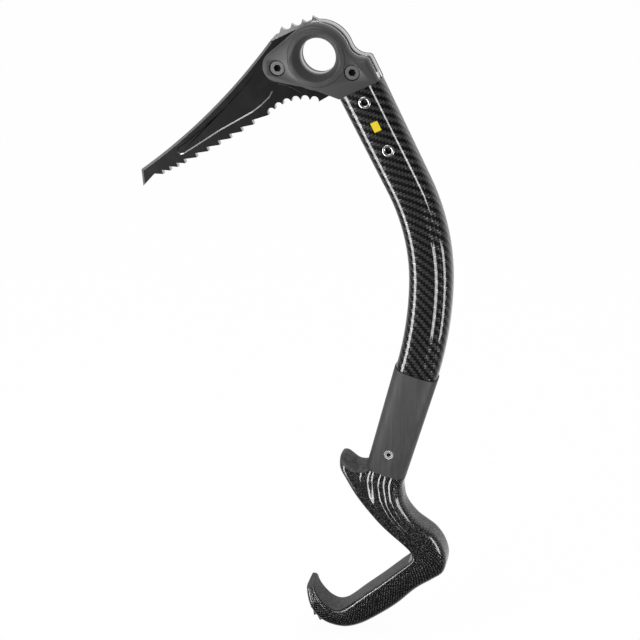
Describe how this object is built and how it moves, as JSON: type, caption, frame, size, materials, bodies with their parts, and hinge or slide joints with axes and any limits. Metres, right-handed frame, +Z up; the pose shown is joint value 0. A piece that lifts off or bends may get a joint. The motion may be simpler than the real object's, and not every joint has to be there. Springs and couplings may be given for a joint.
{
  "type": "ice climbing tool",
  "caption": "Ice climbing tool with a toothed steel pick in a bored alloy head, a curved carbon shaft and an angled two-part handle with a horn and a hooked grip.",
  "frame": {"origin": "centre of the eye through the head, on the tool's middle plane", "axes": "+X from the pick's point towards the back of the shaft, +Y across the tool's thickness along the eye, +Z up from the handle to the head"},
  "size_m": [0.2413, 0.026, 0.4976],
  "materials": {
    "pick_steel": "black coating on hardened steel, bare on edges",
    "head_alloy": "grey anodised",
    "bolt_steel": "plated",
    "rivet_alloy": "bare",
    "shaft_carbon": "clear-coated woven carbon",
    "sleeve_plastic": "fine matte",
    "spigot_alloy": "bare",
    "handle_carbon": "clear-coated woven carbon",
    "core_foam": "foam",
    "pad_rubber": "matte",
    "spike_steel": "bare"
  },
  "bodies": {
    "root": {"pick": "pick_steel", "head_cheek_left": "head_alloy", "head_cheek_right": "head_alloy", "front_bolt": "bolt_steel", "front_nut": "bolt_steel", "rear_bolt": "bolt_steel", "rear_nut": "bolt_steel", "upper_rivet": "rivet_alloy", "lower_rivet": "rivet_alloy", "shaft": "shaft_carbon", "grip_sleeve": "sleeve_plastic", "handle_spigot": "spigot_alloy", "handle_screw": "bolt_steel", "handle_nut": "bolt_steel", "handle_shell_left": "handle_carbon", "handle_shell_right": "handle_carbon", "handle_core": "core_foam", "horn_pad": "pad_rubber", "hook_pad": "pad_rubber", "spike_plate": "spike_steel"}
  },
  "joints": []
}
